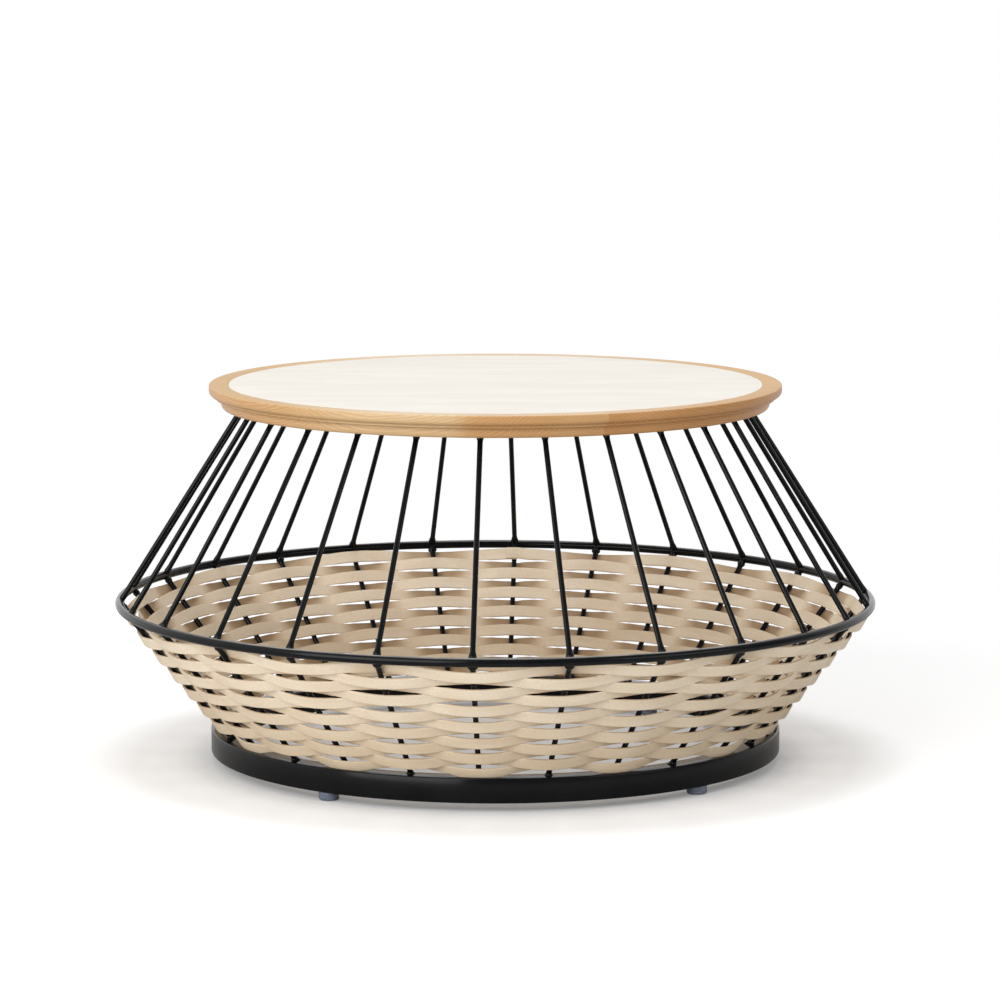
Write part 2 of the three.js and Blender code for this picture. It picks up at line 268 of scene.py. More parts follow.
WOOD_DARK = (0.69, 0.465, 0.235, 1)
WOOD_PALE = (0.76, 0.545, 0.31, 1)
WOOD_CLOUD = ((3.0, 24.0, 24.0), 3.0)
WOOD_CLOUD_RANGE = (0.3, 0.7)
WOOD_WARP = ((7.0, 22.0, 30.0), 3.0)
WOOD_WARP_RINGS = 5.0
WOOD_RINGS = 430.0
WOOD_LATE_COLOUR = (0.54, 0.32, 0.145, 1)
WOOD_LATE_RISE = (0.25, 0.86)
WOOD_LATE_FALL = (1.0, 0.9)
WOOD_LATE_SHARE = 0.55
WOOD_FIBRE_COLOUR = (0.52, 0.315, 0.15, 1)
WOOD_FIBRE = ((45.0, 1400.0, 1400.0), 4.0, 0.6)
WOOD_FIBRE_RANGE = (0.4, 0.75, 0.0, 0.35)
WOOD_PORE_COLOUR = (0.33, 0.175, 0.072, 1)
WOOD_PORE = ((110.0, 2600.0, 2600.0), 2.0, 0.5)
WOOD_PORE_RANGE = (0.62, 0.74, 0.0, 0.5)
WOOD_PORE_DEPTH = 0.6
WOOD_FIRST_BOARD_TONE = (0.95, 0.85, 0.76, 1)
# Painted sheen: a band left of the middle stays paler, and the wood outside it takes this darker
# tone
WOOD_OFF_SHEEN_TONE = (0.88, 0.735, 0.58, 1)
WOOD_SHEEN_RISE = (-0.28, -0.13)
WOOD_SHEEN_FALL = (-0.05, -0.02, 1.0, 0.0)
WOOD_TOP_RANGE = (0.5, 0.9)
# Painted reflection: upward faces paler, and darker and more orange towards the left and right
# ends
WOOD_TOP_SHEEN_COLOUR = (0.86, 0.72, 0.52, 1)
WOOD_TOP_SHEEN_SHARE = 0.4
WOOD_ENDS_LESS_SHEEN_RANGE = (0.08, 0.28)
WOOD_ENDS_LESS_SHEEN_TONE = (0.87, 0.74, 0.45, 1)
WOOD_ROUGHNESS_RANGE = (0.3, 0.7, 0.34, 0.48)
WOOD_SPECULAR = 0.4
WOOD_BUMP = (0.0001, 0.3)

STONE_DARK = (0.825, 0.765, 0.67, 1)
STONE_PALE = (0.885, 0.85, 0.775, 1)
STONE_STREAK = ((5.0, 26.0, 26.0), 6.0, 0.6)
STONE_STREAK_RANGE = (0.35, 0.68)
STONE_VEIN_COLOUR = (0.74, 0.705, 0.655, 1)
STONE_VEIN = ((14.0, 90.0, 90.0), 5.0, 0.6)
STONE_VEIN_RANGE = (0.55, 0.72, 0.0, 0.35)
STONE_GRAIN_COLOUR = (0.70, 0.66, 0.60, 1)
STONE_GRAIN = (420.0, 4.0, 0.6)
STONE_GRAIN_RANGE = (0.4, 0.7, 0.0, 0.14)
STONE_ROUGHNESS_RANGE = (0.3, 0.7, 0.34, 0.48)
STONE_BUMP = (0.00008, 0.25)

BOARD_PALE = (0.56, 0.38, 0.21, 1)
BOARD_DARK = (0.46, 0.29, 0.15, 1)
BOARD_SWIRL = ((6.0, 34.0, 1.0), 4.0)
BOARD_SWIRL_LINES = 9.0
BOARD_SWIRL_RANGE = (0.3, 0.9)
BOARD_FIBRE_COLOUR = (0.38, 0.23, 0.115, 1)
BOARD_FIBRE = ((40.0, 900.0, 300.0), 4.0, 0.6)
BOARD_FIBRE_RANGE = (0.4, 0.7, 0.0, 0.4)
BOARD_PLY_COLOUR = (0.34, 0.20, 0.10, 1)
BOARD_PLIES = 420.0
BOARD_PLY_RANGE = (0.45, 0.55, 0.0, 0.25)
BOARD_ROUGHNESS_RANGE = (0.3, 0.7, 0.6, 0.8)
BOARD_BUMP = (0.00015, 0.4)

GLIDE_DARK = (0.15, 0.18, 0.24, 1)
GLIDE_PALE = (0.20, 0.23, 0.30, 1)
GLIDE_CLOUD = (160.0, 3.0)
GLIDE_CLOUD_RANGE = (0.3, 0.7)
GLIDE_SCUFF = ((300.0, 300.0, 900.0), 4.0)
GLIDE_ROUGHNESS_RANGE = (0.3, 0.7, 0.18, 0.36)
GLIDE_TRANSMISSION = 0.25
GLIDE_BUMP = (0.00005, 0.3)

STEEL_DARK = (0.50, 0.51, 0.53, 1)
STEEL_PALE = (0.66, 0.66, 0.66, 1)
STEEL_MOTTLE = (700.0, 4.0, 0.6)
STEEL_MOTTLE_RANGE = (0.35, 0.65)
STEEL_ROUGHNESS_RANGE = (0.3, 0.7, 0.25, 0.42)
STEEL_BUMP = (0.00004, 0.3)

# World: even light, and in reflections how dark the room is and where its dark side fades out
AMBIENT = 0.45
DARK_SIDE = 0.25
ROOM_SLANT = -0.6
ROOM_EDGE = 0.5

# Lamps: azimuth and elevation in degrees, distance and size in metres, and share of plain light
PLAIN_LIGHT = math.pi ** 2
LAMPS = (
    ("key", -36, 18, 6.4, 5.6, 0.77),
    ("fill", 55, 20, 6.4, 4.0, 0.17),
    ("top", 180, 87, 5.6, 2.4, 0.37),
)


def reach(node):
    """Least and greatest distance of a CAD node from the table's axis, then its z range."""
    points = np.array([v.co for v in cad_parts[node].data.vertices])
    radius = np.hypot(points[:, 0], points[:, 1])
    return radius.min(), radius.max(), points[:, 2].min(), points[:, 2].max()


base_inner, base_outer, base_bottom, base_top = reach("base_ring")
_, mid_outer, mid_bottom, mid_top = reach("mid_ring")
top_inner, top_outer, top_bottom, top_top = reach("top_ring")
rim_inner, rim_outer, rim_bottom, rim_top = reach("rim_segment_1")
_, _, inlay_bottom, inlay_top = reach("top_inlay")

bay = 360 / RIB_COUNT
base_radius = (base_inner + base_outer) / 2
foot_radius = base_radius - FOOT_INSET
knee_z = base_top + KNEE_RISE
crown_radius = (top_inner + top_outer) / 2
lower_lean = math.atan2(KNEE_RADIUS - foot_radius, knee_z - base_top)
upper_lean = math.atan2(KNEE_RADIUS - crown_radius, top_bottom - knee_z)
rng = np.random.default_rng(SEED)


# ---------------------------------------------------------------- mesh code

def smoothstep(x):
    x = np.clip(x, 0, 1)
    return x * x * (3 - 2 * x)


def outward(azimuth):
    """Unit directions away from the axis at azimuths in degrees."""
    angle = np.radians(azimuth)
    return np.stack([np.sin(angle), -np.cos(angle), np.zeros_like(angle)], -1)


def onward(azimuth):
    """Unit directions of growing azimuth."""
    angle = np.radians(azimuth)
    return np.stack([np.cos(angle), np.sin(angle), np.zeros_like(angle)], -1)


def arc(centre, radii, start, end, steps):
    """Points of an elliptical arc, degrees anticlockwise from the first axis."""
    (x, y), (wide, high) = centre, radii
    angles = np.radians(np.linspace(start, end, steps + 1))
    return [(x + wide * math.cos(angle), y + high * math.sin(angle)) for angle in angles]


def bar_outline(half, edge):
    """Outline of a bar with rounded edges: half is its half width and half height."""
    points = []
    for index, (sx, sy) in enumerate(((1, 1), (-1, 1), (-1, -1), (1, -1))):
        corner = (sx * (half[0] - edge), sy * (half[1] - edge))
        points += arc(corner, (edge, edge), 90 * index, 90 * (index + 1), BAR_EDGE_STEPS)
    return np.array(points)


def piece(name, vertices, faces, material, slot, nodes=(), flow=None, sharp=SHARP_ANGLE):
    """A closed mesh that rides on the table and stands for CAD nodes.

    flow is a coordinate for its material, and edges sharper than the angle sharp stay crisp.
    """
    mesh = bpy.data.meshes.new(name)
    mesh.from_pydata([tuple(v) for v in vertices], [], [tuple(f) for f in faces])
    if flow is not None:
        layer = mesh.attributes.new("flow", "FLOAT_VECTOR", "POINT")
        layer.data.foreach_set("vector", np.asarray(flow, np.float32).ravel())
    work = bmesh.new()
    work.from_mesh(mesh)
    bmesh.ops.remove_doubles(work, verts=work.verts, dist=MERGE_DISTANCE)
    bmesh.ops.recalc_face_normals(work, faces=work.faces)
    work.to_mesh(mesh)
    work.free()
    mesh.shade_smooth()
    mesh.set_sharp_from_angle(angle=math.radians(sharp))
    mesh.materials.append(material)
    obj = bpy.data.objects.new(name, mesh)
    bpy.context.scene.collection.objects.link(obj)
    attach(obj, BODY)
    if nodes:
        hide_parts(*nodes)


def skin(rings, closed_path, closed_section=True):
    """Vertices and faces of a skin through rings of points, shape (stations, points, 3)."""
    stations, count = rings.shape[:2]
    spans = stations if closed_path else stations - 1
    sides = count if closed_section else count - 1
    faces = []
    for i in range(spans):
        here, there = i * count, (i + 1) % stations * count
        for j in range(sides):
            k = (j + 1) % count
            faces.append((here + j, here + k, there + k, there + j))
    if not closed_path:
        last = (stations - 1) * count
        faces.append(tuple(range(count)))
        faces.append(tuple(range(last, last + count)))
    return rings.reshape(-1, 3), faces


def swept(outline, azimuths, radius, z):
    """Rings of an outline (out, up) carried round the axis at a radius and height."""
    out = outward(azimuths)[:, None, :]
    rings = out * (radius + outline[None, :, 0, None])
    rings[:, :, 2] = z + outline[None, :, 1]
    return rings


def full_turn(steps):
    return FIRST_RIB_AZIMUTH + np.arange(steps) * 360 / steps


def turned(profile, steps, centre=(0, 0)):
    """Skin of a profile (radius, z) that starts and ends on its own upright axis."""
    angle = np.arange(steps) * 2 * math.pi / steps
    profile = np.array(profile)
    rings = np.zeros((steps, len(profile), 3))
    rings[:, :, 0] = centre[0] + np.cos(angle)[:, None] * profile[None, :, 0]
    rings[:, :, 1] = centre[1] + np.sin(angle)[:, None] * profile[None, :, 0]
    rings[:, :, 2] = profile[None, :, 1]
    return skin(rings, True, closed_section=False)


# ---------------------------------------------------------------- materials

class Tree:
    """Short calls that build one node tree."""

    def __init__(self, owner):
        owner.use_nodes = True
        self.nodes = owner.node_tree.nodes
        self.links = owner.node_tree.links
        self.nodes.clear()

    def put(self, socket, value):
        if isinstance(value, bpy.types.NodeSocket):
            self.links.new(value, socket)
        else:
            socket.default_value = value

    def add(self, kind, inputs=(), **settings):
        node = self.nodes.new(kind)
        for key, value in settings.items():
            setattr(node, key, value)
        for key, value in dict(inputs).items():
            self.put(node.inputs[key], value)
        return node

    def math(self, operation, a, b=0.0, c=0.0):
        return self.add("ShaderNodeMath", {0: a, 1: b, 2: c}, operation=operation).outputs[0]

    def times(self, a, b):
        return self.math("MULTIPLY", a, b)

    def rest(self, share):
        return self.math("SUBTRACT", 1.0, share)

    def remap(self, value, low, high, to_low=0.0, to_high=1.0, kind="LINEAR"):
        inputs = {0: value, 1: low, 2: high, 3: to_low, 4: to_high}
        return self.add("ShaderNodeMapRange", inputs, interpolation_type=kind).outputs[0]

    def step(self, value, low, high, to_low=0.0, to_high=1.0):
        return self.remap(value, low, high, to_low, to_high, "SMOOTHSTEP")

    def stretch(self, vector, scale):
        inputs = {0: vector, 1: scale}
        return self.add("ShaderNodeVectorMath", inputs, operation="MULTIPLY").outputs[0]

    def parts(self, vector):
        return self.add("ShaderNodeSeparateXYZ", {0: vector}).outputs

    def noise(self, vector, scale, detail=3.0, roughness=0.5):
        """Noise at so many waves per metre, in all directions or along each axis."""
        if isinstance(scale, tuple):
            vector, scale = self.stretch(vector, scale), 1.0
        inputs = {"Vector": vector, "Scale": scale, "Detail": detail, "Roughness": roughness}
        return self.add("ShaderNodeTexNoise", inputs).outputs[0]

    def blend(self, share, a, b, kind="MIX"):
        node = self.add("ShaderNodeMix", data_type="RGBA", blend_type=kind)
        for key, value in ((0, share), (6, a), (7, b)):
            self.put(node.inputs[key], value)
        return node.outputs[2]

    def tone(self, share, base, colour):
        return self.blend(share, base, colour, "MULTIPLY")

    def bump(self, height, distance, strength):
        inputs = {"Height": height, "Distance": distance, "Strength": strength}
        return self.add("ShaderNodeBump", inputs).outputs[0]

    def normal(self):
        return self.add("ShaderNodeNewGeometry").outputs["Normal"]

    def place(self):
        return self.add("ShaderNodeTexCoord").outputs["Object"]

    def flow(self):
        return self.add("ShaderNodeAttribute", attribute_name="flow").outputs["Vector"]

    def finish(self, **inputs):
        named = {key.replace("_", " "): value for key, value in inputs.items()}
        shader = self.add("ShaderNodeBsdfPrincipled", named)
        self.add("ShaderNodeOutputMaterial", {"Surface": shader.outputs[0]})


def material(name):
    made = bpy.data.materials.new(name)
    return made, Tree(made)


def paint_material():
    """Black powder coat: a fine orange peel, and a painted highlight on what faces up, high up and
    near the middle.
    """
    made, tree = material("black_powder_coat")
    place = tree.place()
    cloud = tree.noise(place, *PAINT_CLOUD)
    base = tree.blend(tree.step(cloud, *PAINT_CLOUD_RANGE), PAINT_DARK, PAINT_LIGHT)
    # Painted highlight: pale colour on what faces up, above a height and towards the middle
    side, _, height = tree.parts(place)
    near = tree.step(tree.math("ABSOLUTE", side), *PAINTED_HIGHLIGHT_SIDE_RANGE)
    highlight_zone = tree.times(tree.step(height, *PAINTED_HIGHLIGHT_HEIGHT_RANGE), near)
    up = tree.step(tree.parts(tree.normal())[2], *PAINTED_HIGHLIGHT_UP_RANGE)
    painted_highlight = tree.times(up, tree.remap(cloud, *PAINTED_HIGHLIGHT_CLOUD_RANGE))
    base = tree.blend(tree.times(painted_highlight, highlight_zone), base, PAINTED_HIGHLIGHT_COLOUR)
    rough = tree.remap(tree.noise(place, *PAINT_SMEAR), *PAINT_ROUGHNESS_RANGE)
    tree.finish(Base_Color=base, Roughness=rough, Specular_IOR_Level=PAINT_SPECULAR,
                Normal=tree.bump(tree.noise(place, *PAINT_PEEL), *PAINT_BUMP))
    return made


def strap_material():
    """Pale woven strap: fibres, mottles, browner edges partly of painted shade, and painted shade
    low down and in hollows.
    """
    made, tree = material("pale_strap")
    flow = tree.flow()
    _, across, weave = tree.parts(flow)
    row = tree.math("FLOOR", weave)
    swing = tree.math("FRACT", weave)
    fibre = tree.noise(flow, *STRAP_FIBRE)
    fleck = tree.noise(flow, *STRAP_FLECK)
    cloud = tree.noise(flow, *STRAP_CLOUD)
    base = tree.blend(tree.step(cloud, *STRAP_CLOUD_RANGE), STRAP_DARK, STRAP_PALE)
    base = tree.blend(tree.remap(fleck, *STRAP_FLECK_RANGE), base, STRAP_FLECK_COLOUR)
    base = tree.blend(tree.remap(fibre, *STRAP_FIBRE_RANGE), base, STRAP_FIBRE_COLOUR)
    # Browner edges, partly the strap's own colour and partly painted shade where rows meet
    share = tree.math("DIVIDE", tree.math("ABSOLUTE", across), STRAP_WIDTH / 2)
    edge = tree.times(tree.step(share, *STRAP_EDGE_AND_SHADE_RANGE), STRAP_EDGE_AND_SHADE_SHARE)
    base = tree.blend(edge, base, STRAP_EDGE_AND_SHADE_COLOUR)
    # Painted shade on the lower rows
    base = tree.tone(tree.step(row, *STRAP_LOW_SHADE_RANGE), base, STRAP_LOW_SHADE_TONE)
    away = tree.stretch(tree.place(), (1.0, 1.0, 0.0))
    faces = tree.add("ShaderNodeVectorMath", {0: away, 1: tree.normal()}, operation="DOT_PRODUCT")
    inside = tree.step(faces.outputs["Value"], *STRAP_INSIDE_RANGE)
    # Painted shade on the inner faces where the strap swings outside a rib
    behind_shade = tree.times(inside, tree.step(swing, *STRAP_BEHIND_SHADE_RANGE))
    base = tree.tone(behind_shade, base, STRAP_BEHIND_SHADE_TONE)
    # Painted shade on the outer faces where the strap swings inside a rib
    hollow_shade = tree.times(tree.rest(inside), tree.step(swing, *STRAP_HOLLOW_SHADE_RANGE))
    base = tree.tone(hollow_shade, base, STRAP_HOLLOW_SHADE_TONE)
    height = tree.math("ADD", fibre, tree.times(fleck, STRAP_FLECK_HEIGHT))
    tree.finish(Base_Color=base, Roughness=tree.remap(fibre, *STRAP_ROUGHNESS_RANGE),
                Specular_IOR_Level=STRAP_SPECULAR, Normal=tree.bump(height, *STRAP_BUMP))
    return made


def wood_material():
    """Satin lacquered wood, with painted sheen on a band left of the middle and on tops away from
    the ends; flow is (along the fibres, side, across the growth rings).
    """
    made, tree = material("lacquered_wood")
    flow = tree.flow()
    along, _, depth = tree.parts(flow)
    warp = tree.times(tree.noise(flow, *WOOD_WARP), WOOD_WARP_RINGS)
    ring = tree.math("FRACT", tree.math("ADD", tree.times(depth, WOOD_RINGS), warp))
    late = tree.times(tree.step(ring, *WOOD_LATE_RISE), tree.step(ring, *WOOD_LATE_FALL))
    fibre = tree.noise(flow, *WOOD_FIBRE)
    pore = tree.noise(flow, *WOOD_PORE)
    cloud = tree.noise(flow, *WOOD_CLOUD)
    base = tree.blend(tree.step(cloud, *WOOD_CLOUD_RANGE), WOOD_DARK, WOOD_PALE)
    base = tree.blend(tree.times(late, WOOD_LATE_SHARE), base, WOOD_LATE_COLOUR)
    base = tree.blend(tree.remap(fibre, *WOOD_FIBRE_RANGE), base, WOOD_FIBRE_COLOUR)
    base = tree.blend(tree.step(pore, *WOOD_PORE_RANGE), base, WOOD_PORE_COLOUR)
    first = tree.math("COMPARE", along, FLOW_SHIFT, 1.0)
    base = tree.tone(first, base, WOOD_FIRST_BOARD_TONE)
    side = tree.parts(tree.place())[0]
    # Painted sheen: paler in a band left of the middle, darker elsewhere
    pale = tree.times(tree.step(side, *WOOD_SHEEN_RISE), tree.step(side, *WOOD_SHEEN_FALL))
    base = tree.tone(tree.rest(pale), base, WOOD_OFF_SHEEN_TONE)
    top = tree.step(tree.parts(tree.normal())[2], *WOOD_TOP_RANGE)
    # Painted reflection: upward faces paler, less so and darker towards the left and right ends
    base = tree.blend(tree.times(top, WOOD_TOP_SHEEN_SHARE), base, WOOD_TOP_SHEEN_COLOUR)
    ends = tree.times(tree.step(tree.math("ABSOLUTE", side), *WOOD_ENDS_LESS_SHEEN_RANGE), top)
    base = tree.tone(ends, base, WOOD_ENDS_LESS_SHEEN_TONE)
    height = tree.math("SUBTRACT", fibre, tree.times(pore, WOOD_PORE_DEPTH))
    tree.finish(Base_Color=base, Roughness=tree.remap(fibre, *WOOD_ROUGHNESS_RANGE),
                Specular_IOR_Level=WOOD_SPECULAR, Normal=tree.bump(height, *WOOD_BUMP))
    return made


def stone_material():
    """Honed pale stone with faint streaks that run across the top."""
    made, tree = material("honed_stone")
    place = tree.place()
    streak = tree.noise(place, *STONE_STREAK)
    vein = tree.noise(place, *STONE_VEIN)
    grain = tree.noise(place, *STONE_GRAIN)
    base = tree.blend(tree.step(streak, *STONE_STREAK_RANGE), STONE_DARK, STONE_PALE)
    base = tree.blend(tree.step(vein, *STONE_VEIN_RANGE), base, STONE_VEIN_COLOUR)
    base = tree.blend(tree.remap(grain, *STONE_GRAIN_RANGE), base, STONE_GRAIN_COLOUR)
    tree.finish(Base_Color=base, Roughness=tree.remap(streak, *STONE_ROUGHNESS_RANGE),
                Normal=tree.bump(tree.math("ADD", vein, grain), *STONE_BUMP))
    return made


def board_material():
    """Plywood: a rotary-cut face veneer, and darker and lighter plies at the edge."""
    made, tree = material("plywood")
    place = tree.place()
    ply = tree.math("FRACT", tree.times(tree.parts(place)[2], BOARD_PLIES))
    swirl = tree.math("FRACT", tree.times(tree.noise(place, *BOARD_SWIRL), BOARD_SWIRL_LINES))
    fibre = tree.noise(place, *BOARD_FIBRE)
    base = tree.blend(tree.step(swirl, *BOARD_SWIRL_RANGE), BOARD_PALE, BOARD_DARK)
    base = tree.blend(tree.remap(fibre, *BOARD_FIBRE_RANGE), base, BOARD_FIBRE_COLOUR)
    base = tree.blend(tree.step(ply, *BOARD_PLY_RANGE), base, BOARD_PLY_COLOUR)
    tree.finish(Base_Color=base, Roughness=tree.remap(fibre, *BOARD_ROUGHNESS_RANGE),
                Normal=tree.bump(fibre, *BOARD_BUMP))
    return made


def glide_material():
    """Smoky blue-grey plastic that lets a little light through."""
    made, tree = material("smoky_plastic")
    place = tree.place()
    cloud = tree.noise(place, *GLIDE_CLOUD)
    scuff = tree.noise(place, *GLIDE_SCUFF)
    base = tree.blend(tree.step(cloud, *GLIDE_CLOUD_RANGE), GLIDE_DARK, GLIDE_PALE)
    tree.finish(Base_Color=base, Roughness=tree.remap(scuff, *GLIDE_ROUGHNESS_RANGE),
                Transmission_Weight=GLIDE_TRANSMISSION, Normal=tree.bump(scuff, *GLIDE_BUMP))
    return made


def steel_material():
    """Zinc-plated screw with a mottled plate."""
    made, tree = material("plated_steel")
    mottle = tree.noise(tree.place(), *STEEL_MOTTLE)
    base = tree.blend(tree.step(mottle, *STEEL_MOTTLE_RANGE), STEEL_DARK, STEEL_PALE)
    rough = tree.remap(mottle, *STEEL_ROUGHNESS_RANGE)
    tree.finish(Base_Color=base, Metallic=1.0, Roughness=rough,
                Normal=tree.bump(mottle, *STEEL_BUMP))
    return made


def floor_material():
    """White floor: shaded by the lamps, lifted to white for the camera but less under the table as
    painted shade, and clear from below.
    """
    made, tree = material("white_floor")
    seen = tree.add("ShaderNodeLightPath").outputs["Is Camera Ray"]
    shade = tree.remap(seen, 0.0, 1.0, FLOOR_BOUNCE, FLOOR_COLOUR)
    diffuse = tree.add("ShaderNodeBsdfDiffuse", {"Color": shade})
    far = tree.add("ShaderNodeVectorMath", {0: tree.place()}, operation="LENGTH")
    # Painted shade: less lift to white under the table
    lift = tree.step(far.outputs["Value"], *FLOOR_LIFT_AND_SHADE_RANGE)
    glow = tree.add("ShaderNodeEmission", {"Strength": tree.times(seen, lift)})
    both = tree.add("ShaderNodeAddShader", {0: diffuse.outputs[0], 1: glow.outputs[0]})
    under = tree.add("ShaderNodeNewGeometry").outputs["Backfacing"]
    clear = tree.add("ShaderNodeBsdfTransparent")
    mixed = tree.add("ShaderNodeMixShader", {0: under, 1: both.outputs[0], 2: clear.outputs[0]})
    tree.add("ShaderNodeOutputMaterial", {"Surface": mixed.outputs[0]})
    return made


# ---------------------------------------------------------------- pieces

def rib_line():
    """Stations of a rib from its crown to its foot, and the knee's place among them.

    Each has its distance down the rod, radius, z and lean.
    """
    turn = upper_lean + lower_lean
    tangent = BEND_RADIUS * math.tan(turn / 2)
    upper = (top_bottom + WELD_SINK - knee_z) / math.cos(upper_lean) - tangent
    lower = (KNEE_RISE + WELD_SINK) / math.cos(lower_lean) - tangent
    bend = BEND_RADIUS * turn
    length = upper + bend + lower
    knee = upper + bend / 2
    weld = np.linspace(-UPPER_WELD[1], LOWER_WELD[1], KNEE_STATIONS) + knee
    stops = np.concatenate([
        np.linspace(0, CROWN_WELD_REACH, CROWN_STATIONS),
        np.linspace(CROWN_WELD_REACH, weld[0], UPPER_STATIONS)[1:-1],
        weld,
        np.linspace(weld[-1], length - FOOT_WELD_REACH, LOWER_STATIONS)[1:-1],
        np.linspace(length - FOOT_WELD_REACH, length, FOOT_STATIONS),
    ])
    lean = upper_lean - np.clip((stops - upper) / BEND_RADIUS, 0, turn)
    centre_r = KNEE_RADIUS - tangent * math.sin(upper_lean) - BEND_RADIUS * math.cos(upper_lean)
    centre_z = knee_z + tangent * math.cos(upper_lean) - BEND_RADIUS * math.sin(upper_lean)
    run = np.minimum(stops - upper, 0) + np.maximum(stops - upper - bend, 0)
    radius = centre_r + BEND_RADIUS * np.cos(lean) + run * np.sin(lean)
    z = centre_z + BEND_RADIUS * np.sin(lean) - run * np.cos(lean)
    return stops, radius, z, lean, knee


def rib_rings(azimuth):
    """A rib with its weld fillets: it swells at its ends, and in hollow curves at the mid ring."""
    stops, radius, z, lean, knee = rib_line()
    length = stops[-1]
    crown = np.clip(1 - stops / CROWN_WELD_REACH, 0, 1)
    foot = np.clip(1 - (length - stops) / FOOT_WELD_REACH, 0, 1)
    swell = CROWN_WELD_SWELL * crown ** 2 + FOOT_WELD_SWELL * foot ** 2
    weld = np.zeros_like(stops)
    fillets = ((knee - stops, UPPER_WELD), (stops - knee, LOWER_WELD))
    for away, (start, end, width, power) in fillets:
        fillet = np.clip((end - away) / (end - start), 0, 1) ** power * np.clip(away / start, 0, 1)
        weld += width * fillet
    half = ROD_RADIUS + swell + weld
    depth = ROD_RADIUS + swell + WELD_DEPTH_SHARE * weld
    angle = np.arange(ROD_SIDES) * 2 * math.pi / ROD_SIDES
    sideways = half[:, None] * np.sin(angle)[None]
    depth = depth[:, None] * np.cos(angle)[None]
    crown_cut = np.clip(1 - stops / (CROWN_CUT_REACHES * CROWN_WELD_REACH), 0, 1)
    foot_cut = np.clip(1 - (length - stops) / (FOOT_CUT_REACHES * FOOT_WELD_REACH), 0, 1)
    skew = np.tan(lean) * (crown_cut + foot_cut)
    ring_r = radius[:, None] + depth * (np.cos(lean) + skew * np.sin(lean))[:, None]
    ring_z = z[:, None] + depth * (np.sin(lean) - skew * np.cos(lean))[:, None]
    at = np.array(azimuth)
    rings = outward(at) * ring_r[..., None] + onward(at) * sideways[..., None]
    rings[:, :, 2] = ring_z
    return rings


def make_ribs(paint):
    for index in range(RIB_COUNT):
        node = f"rib_{index + 1:02d}"
        rings = rib_rings(FIRST_RIB_AZIMUTH + index * bay)
        piece(f"{node}_rod", *skin(rings, False), paint, "paint", [node], sharp=ROUND_SHARP_ANGLE)


def make_rings(paint):
    azimuths = full_turn(RING_STEPS)
    base = bar_outline(((base_outer - base_inner) / 2, (base_top - base_bottom) / 2), BASE_EDGE)
    rings = swept(base, azimuths, base_radius, (base_bottom + base_top) / 2)
    piece("base_ring_bar", *skin(rings, True), paint, "paint", ["base_ring"])
    flat = bar_outline(((top_outer - top_inner) / 2, (top_top - top_bottom) / 2), TOP_EDGE)
    rings = swept(flat, azimuths, crown_radius, (top_bottom + top_top) / 2)
    piece("top_ring_bar", *skin(rings, True), paint, "paint", ["top_ring"])
    rod = (mid_top - mid_bottom) / 2
    round_bar = np.array(arc((0, 0), (rod, rod), 0, 360, MID_RING_SIDES)[:-1])
    rings = swept(round_bar, azimuths, mid_outer - rod, (mid_top + mid_bottom) / 2)
    piece("mid_ring_rod", *skin(rings, True), paint, "paint", ["mid_ring"])


def make_glides(plastic):
    foot = [(0, 0), (GLIDE_RADIUS - GLIDE_EDGE, 0)]
    foot += arc((GLIDE_RADIUS - GLIDE_EDGE, GLIDE_EDGE),
                (GLIDE_EDGE, GLIDE_EDGE), -90, 0, GLIDE_EDGE_STEPS)[1:]
    foot += arc((GLIDE_RADIUS - GLIDE_EDGE / 2, base_bottom - GLIDE_EDGE / 2),
                (GLIDE_EDGE / 2, GLIDE_EDGE / 2), 0, 90, GLIDE_SHOULDER_STEPS)
    foot += [(GLIDE_STUD_RADIUS, base_bottom), (GLIDE_STUD_RADIUS, base_bottom + WELD_SINK)]
    foot += [(0, base_bottom + WELD_SINK)]
    for index, azimuth in enumerate(GLIDE_AZIMUTHS):
        centre = outward(np.array(float(azimuth))) * base_radius
        skinned = turned(foot, TURNED_STEPS, centre[:2])
        node = f"glide_{index + 1}"
        piece(f"{node}_foot", *skinned, plastic, "glide", [node])


def cross_arm(along, aside):
    """Depth share of one arm of a screw's cross recess, at distances along it and aside of it."""
    half_width = (SCREW_CROSS_WIDTH + SCREW_CROSS_SIDE_SLOPE) / 2
    ends = smoothstep((SCREW_CROSS_REACH - np.abs(along)) / SCREW_CROSS_END_SLOPE)
    return ends * smoothstep((half_width - np.abs(aside)) / SCREW_CROSS_SIDE_SLOPE)


def screw_head():
    """Pan head seen from below, its seat at z = 0: a low dome with a cross recess."""
    shares = np.linspace(0, 1, SCREW_DOME_STEPS)
    radius = shares * SCREW_HEAD_RADIUS
    drop = -SCREW_HEAD_HEIGHT * np.sqrt(1 - SCREW_DOME_DROP * shares ** SCREW_DOME_POWER)
    angle = np.arange(TURNED_STEPS) * 2 * math.pi / TURNED_STEPS
    x = np.cos(angle)[:, None] * radius
    y = np.sin(angle)[:, None] * radius
    cross = np.maximum(cross_arm(x, y), cross_arm(y, x))
    z = drop[None, :] + SCREW_CROSS_DEPTH * cross
    dome = np.stack([x, y, z], -1)
    seat = np.stack([np.cos(angle), np.sin(angle), np.zeros_like(angle)], -1)
    seat = (seat * SCREW_HEAD_RADIUS)[:, None, :]
    return np.concatenate([dome, seat, np.zeros_like(seat)], 1)


def make_screws(steel):
    head = screw_head()
    for index, at in enumerate(SCREW_BAYS):
        azimuth = FIRST_RIB_AZIMUTH + (at + 0.5) * bay
        rings = head + outward(np.array(azimuth)) * crown_radius + np.array([0, 0, top_bottom])
        node = f"top_screw_{index + 1}"
        piece(f"{node}_head", *skin(rings, True, closed_section=False), steel, "steel", [node])


